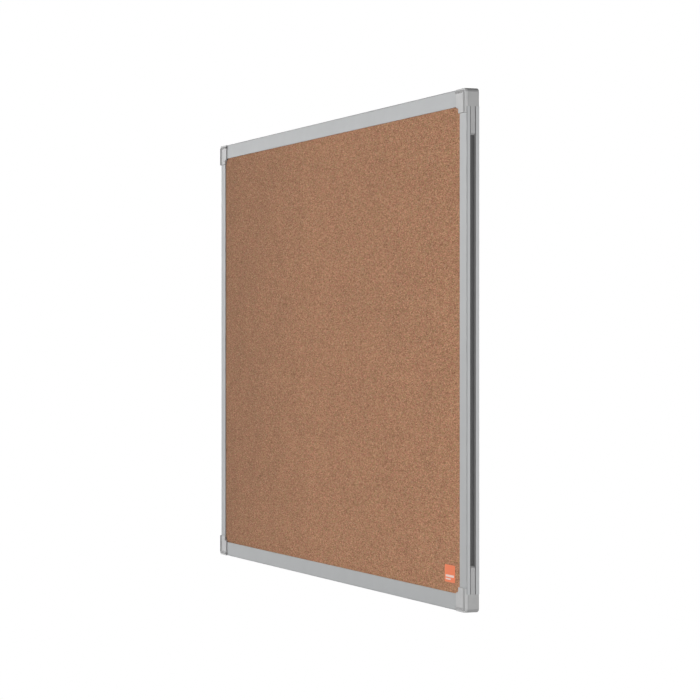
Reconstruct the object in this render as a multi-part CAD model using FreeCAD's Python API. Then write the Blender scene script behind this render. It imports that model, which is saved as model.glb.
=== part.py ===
import FreeCAD, Part
import os
from FreeCAD import Vector

# Wall-mounted cork notice board, 900 x 600 mm, landscape.
# X runs to the right, Z up, and Y from the front (-Y) to the wall (+Y). All lengths are millimetres.
# The origin is the middle of the board in the wall plane, so every piece lies at Y <= 0.

# Driving dimensions
BOARD_WIDTH = 900.0
BOARD_HEIGHT = 600.0
RAIL_DEPTH = 16.0            # front face of the frame to the wall
RAIL_FACE = 19.5             # width of a rail seen from the front

# Rail extrusion
FRONT_WALL = 1.1             # aluminium over the cork's edge
REAR_WALL = 1.3
REAR_WALL_REACH = 12.0       # rear wall, measured inwards from the outer face
WEB = 1.5                    # between the outer slot and the panel groove
SLOT_DEPTH = 5.5             # outer slot
SLOT_FRONT = 4.4             # from the front face to the slot
SLOT_WIDTH = 7.2
RAIL_EDGE_RADIUS = 1.5       # front outer edge
RAIL_BACK_RADIUS = 0.5

# Panel: cork on a softboard core with a thin backing
PANEL_GAP = 0.3              # between the panel's edge and the rail's web
CORK_THICKNESS = 2.5
BACKING_THICKNESS = 0.6

# Corner body
BLOCK = 21.0
OUTER_RADIUS = 4.5
BLOCK_BACK_RADIUS = 1.6
SKIRT_DEPTH = 1.6            # the cover's skirt over the block's front edge
SKIRT_WALL = 1.8
SKIRT_GAP = 0.1
SKIRT_SEAM = 0.25            # visible line between the skirt's back edge and the block
TONGUE_FRONT = 5.15          # from the rail's front face to the tongue
TONGUE_WIDTH = 5.5
TONGUE_LENGTH = 32.5
TONGUE_INSET = 0.25          # below the rail's outer face
TONGUE_THICKNESS = 5.0
TONGUE_BEVEL = 2.0
SCREW_HOLE_INSET = 10.0      # wall screw's axis from both outer faces of the corner
SCREW_HOLE_RADIUS = 2.6
SCREW_HEAD_RADIUS = 5.2
SCREW_HEAD_DEPTH = 5.0
PEG_OFFSET = 6.2             # clip pegs, from the wall screw's axis along both sides
PEG_RADIUS = 1.4
PEG_LENGTH = 6.0
PEG_GAP = 0.08
PEG_HOLE_DEPTH = 6.6

# Corner cover
COVER_LEG = 27.8
PLATE = 1.5                  # plate's thickness in front of the rails
RIM_HEIGHT = 2.9
RIM_WIDTH = 4.9
RIM_BEVEL_DROP = 2.6         # the rim's outer bevel, back from the crest
RIM_BEVEL_WIDTH = 3.8
RIM_SLOPE_WIDTH = 0.9        # the rim's inner side, from its crest down to the plate
RIM_CREST_RADIUS = 0.25
PLATE_EDGE_RADIUS = 0.9
COVER_OVERHANG = 0.3         # past the block's inner faces
COVER_INNER_RADIUS = 4.0
FLANGE_INNER_RADIUS = 6.8    # lower step that covers the cork's corner

# Screws that hold the rails on the tongues, driven from the back
RAIL_SCREW_FROM_END = 16.0
RAIL_SCREW_RADIUS = 1.4
RAIL_SCREW_HEAD_RADIUS = 2.4
RAIL_SCREW_HEAD_DEPTH = 1.4
RAIL_SCREW_LENGTH = 9.0
RAIL_SCREW_RECESS = 0.15     # head below the back face
DRIVE_RADIUS = 1.0
DRIVE_DEPTH = 0.8

# Label on the cork
LABEL_WIDTH = 30.0
LABEL_HEIGHT = 20.2
LABEL_THICKNESS = 0.15
LABEL_RADIUS = 2.0
LABEL_FROM_RIGHT = 16.2      # from the visible cork's right edge
LABEL_FROM_BOTTOM = 11.3

OVERLAP = 1.0                # extra length on cutting tools
FRONT_Y = -RAIL_DEPTH
WALL_AXIS = Vector(0, 1, 0)
HALF_WIDTH = BOARD_WIDTH / 2
HALF_HEIGHT = BOARD_HEIGHT / 2
WEB_END = SLOT_DEPTH + WEB
TONGUE_MID = TONGUE_INSET + TONGUE_THICKNESS / 2
CORNERS = {
    "top_right": (1, 1, 0),
    "bottom_right": (1, -1, 90),
    "bottom_left": (-1, -1, 180),
    "top_left": (-1, 1, 270),
}
SIDES = {
    "top": (BOARD_WIDTH, 0, HALF_HEIGHT, 0),
    "right": (BOARD_HEIGHT, HALF_WIDTH, 0, 90),
    "bottom": (BOARD_WIDTH, 0, -HALF_HEIGHT, 180),
    "left": (BOARD_HEIGHT, -HALF_WIDTH, 0, 270),
}


def block(x0, x1, y0, y1, z0, z1):
    return Part.makeBox(x1 - x0, y1 - y0, z1 - z0, Vector(x0, y0, z0))


def rod(radius, x, z, y0, y1):
    return Part.makeCylinder(radius, y1 - y0, Vector(x, y0, z), WALL_AXIS)


def edges_where(shape, test):
    """The shape's edges whose sampled points all pass the test."""
    found = []
    for edge in shape.Edges:
        first, last = edge.ParameterRange
        points = [edge.valueAt(first + (last - first) * k / 4) for k in range(5)]
        if all(test(point) for point in points):
            found.append(edge)
    return found


def near(value, target, reach=1e-3):
    return abs(value - target) < reach


def save(name, shape):
    shape.exportStep("parts/" + name + ".step")


# --- Rails -------------------------------------------------------------------------------------


def rail(length):
    """The top rail: it lies along X with its outer face up, at Z = 0."""
    half = length / 2
    back = block(-half, half, -REAR_WALL, 0, -REAR_WALL_REACH, 0)
    front = block(-half, half, FRONT_Y, FRONT_Y + FRONT_WALL, -RAIL_FACE, 0)
    spine = block(-half, half, FRONT_Y, 0, -WEB_END, 0)
    slot_y = FRONT_Y + SLOT_FRONT
    slot = block(-half - OVERLAP, half + OVERLAP, slot_y, slot_y + SLOT_WIDTH, -SLOT_DEPTH, OVERLAP)
    shape = spine.fuse([back, front]).cut(slot).removeSplitter()
    front_edge = edges_where(shape, lambda p: near(p.y, FRONT_Y) and near(p.z, 0))
    shape = shape.makeFillet(RAIL_EDGE_RADIUS, front_edge)
    back_edge = edges_where(shape, lambda p: near(p.y, 0) and near(p.z, 0))
    shape = shape.makeFillet(RAIL_BACK_RADIUS, back_edge)
    for x in (-half + RAIL_SCREW_FROM_END, half - RAIL_SCREW_FROM_END):
        shape = shape.cut(rail_screw(x, -TONGUE_MID))
    return shape


def rail_screw(x, z):
    """A countersunk self-tapping screw along Y, its head towards the wall."""
    head_y = -RAIL_SCREW_RECESS
    neck_y = head_y - RAIL_SCREW_HEAD_DEPTH
    shank = rod(RAIL_SCREW_RADIUS, x, z, head_y - RAIL_SCREW_LENGTH, neck_y)
    head = Part.makeCone(
        RAIL_SCREW_RADIUS, RAIL_SCREW_HEAD_RADIUS, RAIL_SCREW_HEAD_DEPTH, Vector(x, neck_y, z), WALL_AXIS
    )
    return shank.fuse(head)


def driven_screw(x, z):
    """The same screw with its cross recess."""
    y0 = -RAIL_SCREW_RECESS - DRIVE_DEPTH
    y1 = -RAIL_SCREW_RECESS + OVERLAP
    slim = DRIVE_RADIUS / 4
    upright = block(x - slim, x + slim, y0, y1, z - DRIVE_RADIUS, z + DRIVE_RADIUS)
    level = block(x - DRIVE_RADIUS, x + DRIVE_RADIUS, y0, y1, z - slim, z + slim)
    return rail_screw(x, z).cut(upright.fuse(level)).removeSplitter()


def rails_and_screws():
    rails = {}
    screws = []
    for side, (span, x, z, turn) in SIDES.items():
        length = span - 2 * BLOCK
        end = length / 2 - RAIL_SCREW_FROM_END
        pieces = [rail(length), driven_screw(-end, -TONGUE_MID), driven_screw(end, -TONGUE_MID)]
        for piece in pieces:
            piece.rotate(Vector(0, 0, 0), WALL_AXIS, turn)
            piece.translate(Vector(x, 0, z))
        rails[side] = pieces[0]
        screws += pieces[1:]
    return rails, Part.makeCompound(screws)


# --- Corner pieces: drawn for the top right corner, whose outer faces meet at X = 0, Z = 0 ------


def rounded_square(size, y0, y1):
    """A square that runs inwards from the outer corner, with that corner rounded."""
    shape = block(-size, 0, y0, y1, -size, 0)
    corner = edges_where(shape, lambda p: near(p.x, 0) and near(p.z, 0))
    return shape.makeFillet(OUTER_RADIUS, corner)


def tongue():
    """It runs down from the block in the right rail's outer slot, with a bevelled end."""
    outer = -TONGUE_INSET
    inner = outer - TONGUE_THICKNESS
    y0 = FRONT_Y + TONGUE_FRONT
    end = -BLOCK - TONGUE_LENGTH
    shape = block(inner, outer, y0, y0 + TONGUE_WIDTH, end, -BLOCK + OVERLAP)
    outer_end = edges_where(shape, lambda p: near(p.x, outer) and near(p.z, end))
    shape = shape.makeChamfer(TONGUE_BEVEL, outer_end)
    return shape.cut(rail_screw(-TONGUE_MID, -BLOCK - RAIL_SCREW_FROM_END))


def mirrored_across_corner(shape):
    """Swaps the corner's right side with its top side."""
    return shape.mirror(Vector(0, 0, 0), Vector(1, 0, -1))


def peg_places():
    return [
        (-SCREW_HOLE_INSET - PEG_OFFSET, -SCREW_HOLE_INSET + PEG_OFFSET),
        (-SCREW_HOLE_INSET + PEG_OFFSET, -SCREW_HOLE_INSET - PEG_OFFSET),
    ]


def skirt(width, y0, y1):
    """A wall along the block's two outer sides."""
    ring = rounded_square(BLOCK, y0, y1)
    core = block(-BLOCK - OVERLAP, -width, y0 - OVERLAP, y1 + OVERLAP, -BLOCK - OVERLAP, -width)
    inner = edges_where(core, lambda p: near(p.x, -width) and near(p.z, -width))
    return ring.cut(core.makeFillet(OUTER_RADIUS - SKIRT_WALL, inner))


def corner_body():
    shape = rounded_square(BLOCK, FRONT_Y, 0)
    back = edges_where(shape, lambda p: near(p.y, 0) and p.x + p.z > -BLOCK and max(p.x, p.z) > -OUTER_RADIUS)
    shape = shape.makeFillet(BLOCK_BACK_RADIUS, back)
    shape = shape.cut(skirt(SKIRT_WALL + SKIRT_GAP, FRONT_Y - OVERLAP, FRONT_Y + SKIRT_DEPTH + SKIRT_SEAM))
    hole = -SCREW_HOLE_INSET
    shape = shape.cut(rod(SCREW_HOLE_RADIUS, hole, hole, FRONT_Y - OVERLAP, OVERLAP))
    shape = shape.cut(rod(SCREW_HEAD_RADIUS, hole, hole, FRONT_Y - OVERLAP, FRONT_Y + SCREW_HEAD_DEPTH))
    for x, z in peg_places():
        shape = shape.cut(rod(PEG_RADIUS + PEG_GAP, x, z, FRONT_Y - OVERLAP, FRONT_Y + PEG_HOLE_DEPTH))
    down = tongue()
    return shape.fuse([down, mirrored_across_corner(down)]).removeSplitter()


def inner_fillet(corner, radius, y0, y1):
    """What a concave fillet of this radius fills, inward of the inner corner at this distance."""
    centre = -corner - radius
    shape = block(centre, -corner, y0, y1, centre, -corner)
    return shape.cut(rod(radius, centre, centre, y0 - OVERLAP, y1 + OVERLAP))


def cover_rim():
    """The raised rim along the two outer sides: bevelled outside, sloping down to the plate inside."""
    top = FRONT_Y - RIM_HEIGHT
    far = -COVER_LEG - OVERLAP
    hollow = block(far, -RIM_WIDTH, top - OVERLAP, FRONT_Y + OVERLAP, far, -RIM_WIDTH)
    shape = rounded_square(COVER_LEG, top, FRONT_Y).cut(hollow)
    outside = edges_where(shape, lambda p: near(p.y, top) and max(p.x, p.z) > -OUTER_RADIUS / 3)
    shape = shape.makeChamfer(RIM_BEVEL_DROP, RIM_BEVEL_WIDTH, outside)
    side = rim_slope(top)
    shape = shape.cut(side.fuse(mirrored_across_corner(side)))
    outer_line = -RIM_BEVEL_WIDTH - RIM_CREST_RADIUS / 4
    crest = edges_where(shape, lambda p: near(p.y, top) and max(p.x, p.z) > outer_line)
    return shape.makeFillet(RIM_CREST_RADIUS, crest)


def rim_slope(top):
    """The wedge that leaves the right side's rim sloping inwards, up to the corner's diagonal."""
    crest = RIM_SLOPE_WIDTH - RIM_WIDTH
    foot = FRONT_Y - PLATE
    profile = [
        Vector(crest, top, 0),
        Vector(-RIM_WIDTH, foot, 0),
        Vector(-RIM_WIDTH - OVERLAP, foot, 0),
        Vector(-RIM_WIDTH - OVERLAP, top - OVERLAP, 0),
        Vector(crest, top - OVERLAP, 0),
    ]
    far = -COVER_LEG - OVERLAP
    wedge = Part.Face(Part.makePolygon(profile + profile[:1])).extrude(Vector(0, 0, far))
    triangle = [Vector(0, 0, 0), Vector(2 * far, 0, 2 * far), Vector(0, 0, 2 * far)]
    below_diagonal = Part.Face(Part.makePolygon(triangle + triangle[:1])).extrude(Vector(0, 2 * top, 0))
    return wedge.common(below_diagonal)


def cover_plate():
    """The flat front over the block and the rails' ends, with rounded inner edges."""
    top = FRONT_Y - PLATE
    inner = BLOCK + COVER_OVERHANG
    far = -COVER_LEG - OVERLAP
    notch = block(far, -inner, top - OVERLAP, FRONT_Y + OVERLAP, far, -inner)
    fillet = inner_fillet(inner, COVER_INNER_RADIUS, top, FRONT_Y)
    plate = rounded_square(COVER_LEG, top, FRONT_Y).cut(notch).fuse(fillet).removeSplitter()
    rounded = edges_where(plate, lambda p: near(p.y, top) and min(p.x, p.z) < -inner + PLATE_EDGE_RADIUS / 2)
    return plate.makeFillet(PLATE_EDGE_RADIUS, rounded)


def corner_cover():
    flange = inner_fillet(BLOCK, FLANGE_INNER_RADIUS, FRONT_Y, FRONT_Y + FRONT_WALL)
    flange = flange.common(rounded_square(COVER_LEG, FRONT_Y, FRONT_Y + FRONT_WALL))
    pegs = [rod(PEG_RADIUS, x, z, FRONT_Y, FRONT_Y + PEG_LENGTH) for x, z in peg_places()]
    sides = skirt(SKIRT_WALL, FRONT_Y, FRONT_Y + SKIRT_DEPTH)
    return cover_plate().fuse([cover_rim(), flange, sides] + pegs).removeSplitter()


def at_corner(shape, name):
    """Turns a piece drawn for the top right corner and moves it to the named corner."""
    right, up, turn = CORNERS[name]
    placed = shape.copy()
    placed.rotate(Vector(0, 0, 0), WALL_AXIS, turn)
    placed.translate(Vector(right * HALF_WIDTH, 0, up * HALF_HEIGHT))
    return placed


# --- Panel and label ---------------------------------------------------------------------------


def panel_layer(y0, y1):
    """One layer of the panel: a sheet in the rails' grooves, notched round the corner blocks."""
    inset = WEB_END + PANEL_GAP
    x = HALF_WIDTH - inset
    z = HALF_HEIGHT - inset
    notch_x = HALF_WIDTH - BLOCK - PANEL_GAP
    notch_z = HALF_HEIGHT - BLOCK - PANEL_GAP
    wide = block(-x, x, y0, y1, -notch_z, notch_z)
    tall = block(-notch_x, notch_x, y0, y1, -z, z)
    return wide.fuse(tall).removeSplitter()


def label():
    half_width = LABEL_WIDTH / 2
    half_height = LABEL_HEIGHT / 2
    shape = block(-half_width, half_width, -LABEL_THICKNESS, 0, -half_height, half_height)
    corners = edges_where(shape, lambda p: near(abs(p.x), half_width) and near(abs(p.z), half_height))
    shape = shape.makeFillet(LABEL_RADIUS, corners)
    x = HALF_WIDTH - RAIL_FACE - LABEL_FROM_RIGHT - half_width
    z = -HALF_HEIGHT + RAIL_FACE + LABEL_FROM_BOTTOM + half_height
    shape.translate(Vector(x, FRONT_Y + FRONT_WALL, z))
    return shape


# --- The whole board ---------------------------------------------------------------------------


os.makedirs("parts", exist_ok=True)
frame_rails, screws = rails_and_screws()
for side, shape in frame_rails.items():
    save("rail_" + side, shape)
save("rail_screws", screws)

body = corner_body()
cover = corner_cover()
for corner in CORNERS:
    save("corner_body_" + corner, at_corner(body, corner))
    save("corner_cover_" + corner, at_corner(cover, corner))

cork_back = FRONT_Y + FRONT_WALL + CORK_THICKNESS
backing_front = -REAR_WALL - BACKING_THICKNESS
save("cork_sheet", panel_layer(FRONT_Y + FRONT_WALL, cork_back))
save("softboard_core", panel_layer(cork_back, backing_front))
save("backing_sheet", panel_layer(backing_front, -REAR_WALL))
save("label", label())
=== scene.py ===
import math

import bmesh
import bpy
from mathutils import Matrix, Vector


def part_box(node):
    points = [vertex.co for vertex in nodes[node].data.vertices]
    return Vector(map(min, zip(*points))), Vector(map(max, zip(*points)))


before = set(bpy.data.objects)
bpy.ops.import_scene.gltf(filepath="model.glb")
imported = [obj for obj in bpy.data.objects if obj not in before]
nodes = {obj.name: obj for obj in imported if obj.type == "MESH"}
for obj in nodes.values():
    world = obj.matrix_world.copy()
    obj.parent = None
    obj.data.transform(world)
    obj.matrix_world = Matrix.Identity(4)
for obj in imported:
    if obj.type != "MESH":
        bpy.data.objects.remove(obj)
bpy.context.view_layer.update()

# All lengths are metres. X runs to the right, Z up, and Y from the front (-Y) to the wall (+Y).
CORNERS = ("top_right", "bottom_right", "bottom_left", "top_left")
OUTWARD = {"top": (0, 0, 1), "right": (1, 0, 0), "bottom": (0, 0, -1), "left": (-1, 0, 0)}

# Camera: how far round to the right of the board's normal it stands, how far away, and its lens
VIEW_TURN = math.radians(68.98)
VIEW_DISTANCE = 3.2415
VIEW_AIM = Vector((0.0788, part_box("rail_top")[0].y, 0.0004))
VIEW_LIMIT = 50.0                    # how far the camera sees
LENS_MM = 130.39
SENSOR_MM = 36.0

# The rails' drawn lines in a metre, by the direction the rail runs in
DRAWN_LINES = {"X": (260.0, 9000.0, 9000.0), "Z": (9000.0, 9000.0, 260.0)}

# The rails' outer slot
SLOT_REACH = (-0.0116, -0.0044)      # from its front wall to its back wall
SLOT_FACE_DEPTH = (0.00005, 0.0058)  # how far in from the rail's outer face its faces are centred
SLOT_FACE_MARGIN = 0.004             # and how far at least from the rail's front and back
WEB_SLOT, WALL_SLOT = 1, 2           # material slots of the slot's floor and of its two walls

# Cork
CORK_GRAIN = 980.0                   # granules in a metre
CORK_BEND = 0.0008                   # how far the granules' outlines are bent
CORK_PAINTED_SHADE_SPAN = (-0.43, 0.43)           # painted shade: the cork's colour is darkened towards the first of these

# The label's bars: their ends as shares of its width, their height on it and their thickness
LABEL_BARS = (((0.10, 0.90), 0.36, 0.0026), ((0.10, 0.58), 0.18, 0.0016))
LABEL_BAR_EDGE = 0.00015             # half the width of a bar's soft edge

# The surround that lights the board: its strength, and its level from straight down to straight up
SURROUND_STRENGTH = 0.15
SURROUND_LEVELS = ((0.0, 0.12), (0.3, 0.18), (0.44, 0.30), (0.56, 0.46), (0.72, 0.28), (1.0, 0.06))

# Soft boxes: name, place, the point it faces, width, height, and power in watts
SOFTBOXES = (
    ("key", (-3.2, -5.5, 1.6), (0.0, 0.0, 0.0), 2.2, 2.2, 262.0),
    ("side", (3.4, 1.2, 0.0), (0.45, 0.0, 0.0), 1.5, 1.5, 48.0),
    ("left_high", (-3.3, -1.35, 0.6), (0.0, 0.0, 0.0), 1.4, 1.2, 11.2),
    ("left_low", (-3.3, -1.35, -0.6), (0.0, 0.0, 0.0), 1.4, 1.2, 6.8),
    ("right", (1.5, -0.9, -0.1), (0.45, 0.0, 0.0), 0.8, 0.8, 6.0),
    ("back", (-0.6, 3.6, 0.0), (0.0, 0.0, 0.0), 1.6, 0.5, 80.0),
)

FLOOR_REACH = 2.2                    # from the floor's middle to each side
FLOOR_HEIGHT = -1.5


# --- Node helpers ------------------------------------------------------------------------------


class Graph:
    """The node tree of a material or of the world, with short calls to add and join its nodes."""

    def __init__(self, owner):
        self.owner = owner
        owner.use_nodes = True
        self.tree = owner.node_tree

    def add(self, kind, **values):
        node = self.tree.nodes.new("ShaderNode" + kind)
        for key, value in values.items():
            setattr(node, key, value)
        return node

    def join(self, source, target):
        self.tree.links.new(source, target)

    def put(self, node, socket, value):
        """Sets an input to a plain value or colour, or joins another node's output to it."""
        if isinstance(value, bpy.types.NodeSocket):
            self.join(value, node.inputs[socket])
        elif isinstance(value, tuple):
            node.inputs[socket].default_value = (*value, 1.0)
        else:
            node.inputs[socket].default_value = value

    def position(self):
        return self.add("TexCoord").outputs["Object"]

    def axis(self, vector, name):
        split = self.add("SeparateXYZ")
        self.join(vector, split.inputs[0])
        return split.outputs[name]

    def stretch(self, vector, scale):
        node = self.add("Mapping")
        self.join(vector, node.inputs["Vector"])
        node.inputs["Scale"].default_value = scale
        return node.outputs["Vector"]

    def math(self, operation, *values, clamp=False):
        node = self.add("Math", operation=operation, use_clamp=clamp)
        for index, value in enumerate(values):
            self.put(node, index, value)
        return node.outputs[0]

    def noise(self, vector, scale, detail=2.0, roughness=0.5):
        node = self.add("TexNoise")
        self.join(vector, node.inputs["Vector"])
        self.put(node, "Scale", scale)
        self.put(node, "Detail", detail)
        self.put(node, "Roughness", roughness)
        return node.outputs["Fac"]

    def cells(self, vector, scale, feature="F1"):
        node = self.add("TexVoronoi", feature=feature)
        self.join(vector, node.inputs["Vector"])
        self.put(node, "Scale", scale)
        return node

    def spread(self, value, low, high, to_low=0.0, to_high=1.0):
        node = self.add("MapRange")
        self.put(node, "Value", value)
        self.put(node, "From Min", low)
        self.put(node, "From Max", high)
        self.put(node, "To Min", to_low)
        self.put(node, "To Max", to_high)
        return node.outputs["Result"]

    def ramp(self, value, stops):
        node = self.add("ValToRGB")
        self.join(value, node.inputs["Fac"])
        band = node.color_ramp
        while len(band.elements) < len(stops):
            band.elements.new(1.0)
        for element, (place, colour) in zip(band.elements, stops):
            element.position = place
            element.color = (*colour, 1.0)
        return node.outputs["Color"]

    def mix(self, factor, first, second, blend="MIX"):
        node = self.add("Mix", data_type="RGBA", blend_type=blend)
        self.put(node, "Factor", factor)
        self.put(node, 6, first)
        self.put(node, 7, second)
        return node.outputs[2]

    def bump(self, height, distance, strength):
        node = self.add("Bump")
        self.join(height, node.inputs["Height"])
        self.put(node, "Distance", distance)
        self.put(node, "Strength", strength)
        return node.outputs["Normal"]

    def finish(self, colour, roughness, metallic=0.0, normal=None, **others):
        surface = self.tree.nodes["Principled BSDF"]
        self.put(surface, "Base Color", colour)
        self.put(surface, "Roughness", roughness)
        self.put(surface, "Metallic", metallic)
        if normal is not None:
            self.join(normal, surface.inputs["Normal"])
        for name, value in others.items():
            self.put(surface, name.replace("_", " "), value)
        return self.owner


def new_material(name):
    return Graph(bpy.data.materials.new(name))


def grey(level, warmth=0.0):
    return (level * (1 + warmth), level, level * (1 - warmth))


# --- Materials ---------------------------------------------------------------------------------


def anodised(name, along):
    """Satin silver anodised aluminium with fine draw lines along the rail."""
    g = new_material(name)
    place = g.position()
    lines = g.noise(g.stretch(place, DRAWN_LINES[along]), 0.35, detail=3.0)
    mottle = g.noise(place, 38.0, detail=3.0)
    tone = g.math("ADD", g.spread(lines, 0.25, 0.75, -0.5, 0.5), g.spread(mottle, 0.3, 0.7, -0.5, 0.5))
    colour = g.ramp(g.spread(tone, -1.0, 1.0), [(0.0, (0.436, 0.446, 0.452)), (1.0, (0.472, 0.482, 0.488))])
    rough = g.spread(lines, 0.3, 0.7, 0.47, 0.51)
    return g.finish(colour, rough, metallic=0.15, normal=g.bump(lines, 0.00001, 0.15))


def slot_grey_painted_shade(name, low, high):
    """The inside of a rail's outer slot: dull, with painted light and shade standing in for the light in the
    recess, dark at its front wall and paler towards its back.
    """
    g = new_material(name)
    place = g.position()
    dust = g.noise(place, 240.0, detail=4.0)
    colour = g.ramp(dust, [(0.25, grey(low)), (0.75, grey(high))])
    # Painted shade: the slot's colour darkens from its back wall towards its front wall
    back = g.spread(g.axis(place, "Y"), *SLOT_REACH)
    shade = g.ramp(back, [(0.0, grey(0.25)), (0.5, grey(0.50)), (1.0, grey(1.0))])
    colour = g.mix(1.0, colour, shade, "MULTIPLY")
    return g.finish(colour, g.spread(dust, 0.3, 0.7, 0.55, 0.7), metallic=0.3)


def moulded(name, low, high):
    """Grey moulded plastic with a fine spark-eroded texture."""
    g = new_material(name)
    place = g.position()
    pits = g.noise(place, 2600.0, roughness=0.6)
    flow = g.noise(place, 120.0)
    shade = g.math("ADD", g.spread(pits, 0.3, 0.7, 0.0, 0.35), g.spread(flow, 0.3, 0.7, 0.0, 0.65))
    colour = g.ramp(shade, [(0.0, grey(low)), (1.0, grey(high))])
    rough = g.spread(pits, 0.3, 0.7, 0.34, 0.42)
    return g.finish(colour, rough, normal=g.bump(pits, 0.00004, 0.3))


def cork_material():
    """Fine agglomerated cork: flattened granules from olive to pinkish brown, dark specks, pale flecks."""
    g = new_material("cork")
    place = g.position()
    shift = g.add("VectorMath", operation="SCALE")
    g.join(g.noise(place, 320.0), shift.inputs[0])
    g.put(shift, "Scale", CORK_BEND)
    bent = g.add("VectorMath", operation="ADD")
    g.join(place, bent.inputs[0])
    g.join(shift.outputs[0], bent.inputs[1])
    laid = g.stretch(bent.outputs[0], (0.42, 1.0, 1.0))
    granule = g.cells(laid, CORK_GRAIN).outputs["Color"]
    tone = g.axis(granule, "X")
    fleck = g.axis(granule, "Y")
    hue = g.axis(granule, "Z")
    colour = g.ramp(tone, [
        (0.0, (0.250, 0.116, 0.058)),
        (0.3, (0.430, 0.213, 0.115)),
        (0.65, (0.540, 0.278, 0.154)),
        (1.0, (0.760, 0.420, 0.244)),
    ])
    colour = g.mix(g.spread(hue, 0.45, 1.0, 0.0, 0.7), colour, (0.588, 0.242, 0.156))
    colour = g.mix(g.spread(hue, 0.45, 0.0, 0.0, 0.7), colour, (0.452, 0.296, 0.130))
    pale = g.spread(fleck, 0.92, 0.97)
    colour = g.mix(g.math("MULTIPLY", pale, 0.4), colour, (0.60, 0.43, 0.28))
    dark = g.spread(fleck, 0.06, 0.03)
    colour = g.mix(g.math("MULTIPLY", dark, 0.3), colour, (0.16, 0.075, 0.038))
    # Painted shade: the cork is darkened towards its left side, standing in for the way the light falls
    # across it
    painted_shade_across = g.spread(g.axis(place, "X"), *CORK_PAINTED_SHADE_SPAN)
    shade = g.ramp(painted_shade_across, [(0.0, grey(0.72, 0.01)), (0.45, grey(0.91, 0.01)), (1.0, grey(0.93, 0.01))])
    colour = g.mix(1.0, colour, shade, "MULTIPLY")
    cloud = g.noise(place, 22.0, detail=3.0)
    colour = g.mix(0.06, colour, g.ramp(cloud, [(0.35, grey(0.25, 0.1)), (0.65, grey(0.75, 0.1))]), "OVERLAY")
    seam = g.cells(laid, CORK_GRAIN, "DISTANCE_TO_EDGE").outputs["Distance"]
    crown = g.spread(seam, 0.0, 0.10)
    colour = g.mix(g.spread(crown, 0.0, 1.0, 0.22, 0.0), colour, (0.15, 0.07, 0.038))
    height = g.math("ADD", g.math("MULTIPLY", crown, 0.6), g.math("MULTIPLY", tone, 0.4))
    return g.finish(colour, 0.88, normal=g.bump(height, 0.00012, 0.35), Specular_IOR_Level=0.25)


def softboard_material():
    """Brown fibreboard, hidden between the cork and the backing."""
    g = new_material("softboard")
    place = g.position()
    fibre = g.noise(g.stretch(place, (1.0, 2.5, 1.0)), 900.0, detail=4.0, roughness=0.7)
    colour = g.ramp(fibre, [(0.3, (0.30, 0.20, 0.12)), (0.7, (0.52, 0.39, 0.26))])
    return g.finish(colour, 0.92, normal=g.bump(fibre, 0.0002, 0.5))


def kraft_material():
    """Grey-brown backing paper: long fibres, soft mottling and a few darker specks."""
    g = new_material("backing_paper")
    place = g.position()
    fibre = g.noise(g.stretch(place, (0.35, 1.0, 1.6)), 1500.0, detail=5.0, roughness=0.65)
    mottle = g.noise(place, 45.0, detail=4.0)
    tone = g.math("ADD", g.math("MULTIPLY", fibre, 0.8), g.math("MULTIPLY", mottle, 0.2))
    colour = g.ramp(tone, [(0.3, (0.30, 0.225, 0.15)), (0.5, (0.42, 0.325, 0.23)), (0.7, (0.50, 0.40, 0.29))])
    dark = g.spread(g.cells(place, 260.0).outputs["Distance"], 0.10, 0.05)
    colour = g.mix(g.math("MULTIPLY", dark, 0.5), colour, (0.16, 0.11, 0.07))
    return g.finish(colour, 0.86, normal=g.bump(fibre, 0.00008, 0.4))


def steel_material():
    """Zinc-plated steel of the rail screws."""
    g = new_material("zinc_steel")
    place = g.position()
    cloud = g.noise(place, 900.0, detail=3.0)
    colour = g.ramp(cloud, [(0.3, (0.46, 0.47, 0.49)), (0.7, (0.62, 0.63, 0.64))])
    return g.finish(colour, g.spread(cloud, 0.3, 0.7, 0.28, 0.42), metallic=1.0)


def label_material():
    """Orange printed vinyl with two plain pale bars."""
    low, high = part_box("label")
    g = new_material("label_vinyl")
    place = g.position()
    x = g.axis(place, "X")
    z = g.axis(place, "Z")
    width = high.x - low.x
    height = high.z - low.z

    def band(value, start, end):
        rise = g.spread(value, start - LABEL_BAR_EDGE, start + LABEL_BAR_EDGE)
        fall = g.spread(value, end + LABEL_BAR_EDGE, end - LABEL_BAR_EDGE)
        return g.math("MULTIPLY", rise, fall)

    def bar(ends, level, thick):
        across = band(x, low.x + width * ends[0], low.x + width * ends[1])
        middle = low.z + height * level
        return g.math("MULTIPLY", across, band(z, middle - thick / 2, middle + thick / 2))

    bars = g.math("ADD", *[bar(*values) for values in LABEL_BARS], clamp=True)
    ink = g.noise(place, 1800.0)
    orange = g.ramp(ink, [(0.3, (0.98, 0.236, 0.098)), (0.7, (1.0, 0.260, 0.113))])
    colour = g.mix(bars, orange, (0.96, 0.74, 0.66))
    rough = g.spread(ink, 0.3, 0.7, 0.5, 0.6)
    return g.finish(colour, rough, normal=g.bump(ink, 0.00001, 0.2), Specular_IOR_Level=0.2)


def floor_material():
    g = new_material("floor_paint")
    grain = g.noise(g.position(), 60.0, detail=3.0)
    return g.finish(g.ramp(grain, [(0.3, grey(0.80)), (0.7, grey(0.83))]), 0.9)


# --- Pieces ------------------------------------------------------------------------------------


def wear(obj, material):
    obj.data.materials.clear()
    obj.data.materials.append(material)


def dress_rails():
    # The slot's floor and walls get greys with painted shade for the recess
    web = slot_grey_painted_shade("slot_web_painted_shade", 0.215, 0.255)
    wall = slot_grey_painted_shade("slot_wall_painted_shade", 0.57, 0.63)
    for side, direction in OUTWARD.items():
        rail = nodes["rail_" + side]
        along = "X" if side in ("top", "bottom") else "Z"
        wear(rail, anodised("anodised_" + side, along))
        rail.data.materials.append(web)
        rail.data.materials.append(wall)
        dress_slot(rail, Vector(direction))


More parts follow.
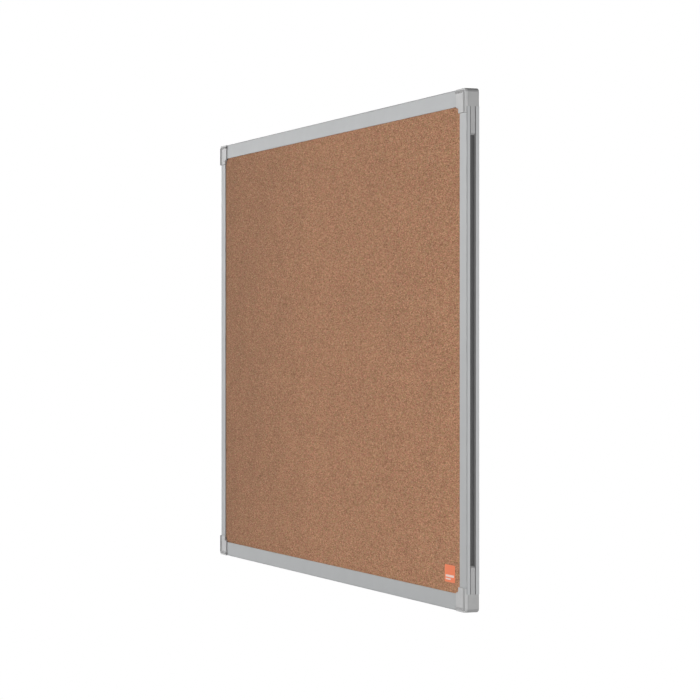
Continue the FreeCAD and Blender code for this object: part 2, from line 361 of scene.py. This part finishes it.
def dress_slot(rail, outward):
    """Gives the rail's slot its own two greys with painted light and shade, face by face."""
    low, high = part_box(rail.name)
    centre = (low + high) / 2
    reach = abs((high - low).dot(outward)) / 2
    nearest, deepest = SLOT_FACE_DEPTH
    for face in rail.data.polygons:
        depth = reach - (face.center - centre).dot(outward)
        inside = low.y + SLOT_FACE_MARGIN < face.center.y < high.y - SLOT_FACE_MARGIN
        if nearest < depth < deepest and inside:
            face.material_index = WALL_SLOT if abs(face.normal.y) > 0.5 else WEB_SLOT


def dress_corners():
    body_plastic = moulded("body_plastic", 0.36, 0.395)
    cover_plastic = moulded("cover_plastic", 0.505, 0.56)
    for corner in CORNERS:
        wear(nodes["corner_body_" + corner], body_plastic)
        wear(nodes["corner_cover_" + corner], cover_plastic)


def dress_panel():
    wear(nodes["cork_sheet"], cork_material())
    wear(nodes["softboard_core"], softboard_material())
    wear(nodes["backing_sheet"], kraft_material())
    wear(nodes["label"], label_material())
    wear(nodes["rail_screws"], steel_material())


# --- Studio ------------------------------------------------------------------------------------


def place_object(name, data, location):
    obj = bpy.data.objects.new(name, data)
    bpy.context.scene.collection.objects.link(obj)
    obj.location = location
    return obj


def facing(direction):
    """The turn that points a camera or a lamp along a direction."""
    return direction.to_track_quat("-Z", "Y").to_euler()


def camera():
    data = bpy.data.cameras.new("camera")
    data.lens = LENS_MM
    data.sensor_width = SENSOR_MM
    data.clip_end = VIEW_LIMIT
    back = Vector((math.sin(VIEW_TURN), -math.cos(VIEW_TURN), 0.0))
    eye = place_object("camera", data, VIEW_AIM + back * VIEW_DISTANCE)
    eye.rotation_euler = facing(-back)
    bpy.context.scene.camera = eye


def world_light():
    """A white surround to look at, and a dimmer, softly graded one to light the board."""
    world = bpy.data.worlds.new("studio")
    bpy.context.scene.world = world
    g = Graph(world)
    g.tree.nodes.clear()
    seen = g.add("Background")
    g.put(seen, "Color", (1.0, 1.0, 1.0))
    g.put(seen, "Strength", 1.0)
    up = g.axis(g.add("TexCoord").outputs["Generated"], "Z")
    levels = [(place, grey(level)) for place, level in SURROUND_LEVELS]
    lit = g.add("Background")
    g.put(lit, "Color", g.ramp(g.math("MULTIPLY_ADD", up, 0.5, 0.5), levels))
    g.put(lit, "Strength", SURROUND_STRENGTH)
    choose = g.add("MixShader")
    g.put(choose, "Fac", g.add("LightPath").outputs["Is Camera Ray"])
    g.join(lit.outputs[0], choose.inputs[1])
    g.join(seen.outputs[0], choose.inputs[2])
    g.join(choose.outputs[0], g.add("OutputWorld").inputs["Surface"])


def softbox(name, place, aim, width, height, power):
    data = bpy.data.lights.new(name, "AREA")
    data.shape = "RECTANGLE"
    data.size = width
    data.size_y = height
    data.energy = power
    lamp = place_object(name, data, place)
    lamp.rotation_euler = facing(Vector(aim) - Vector(place))
    lamp.visible_camera = False


def floor():
    mesh = bpy.data.meshes.new("floor")
    shape = bmesh.new()
    bmesh.ops.create_grid(shape, x_segments=1, y_segments=1, size=FLOOR_REACH)
    shape.to_mesh(mesh)
    shape.free()
    ground = place_object("floor", mesh, (0.0, 0.0, FLOOR_HEIGHT))
    ground.data.materials.append(floor_material())


dress_rails()
dress_corners()
dress_panel()
camera()
world_light()
for values in SOFTBOXES:
    softbox(*values)
floor()
bpy.context.scene.view_settings.view_transform = "Standard"
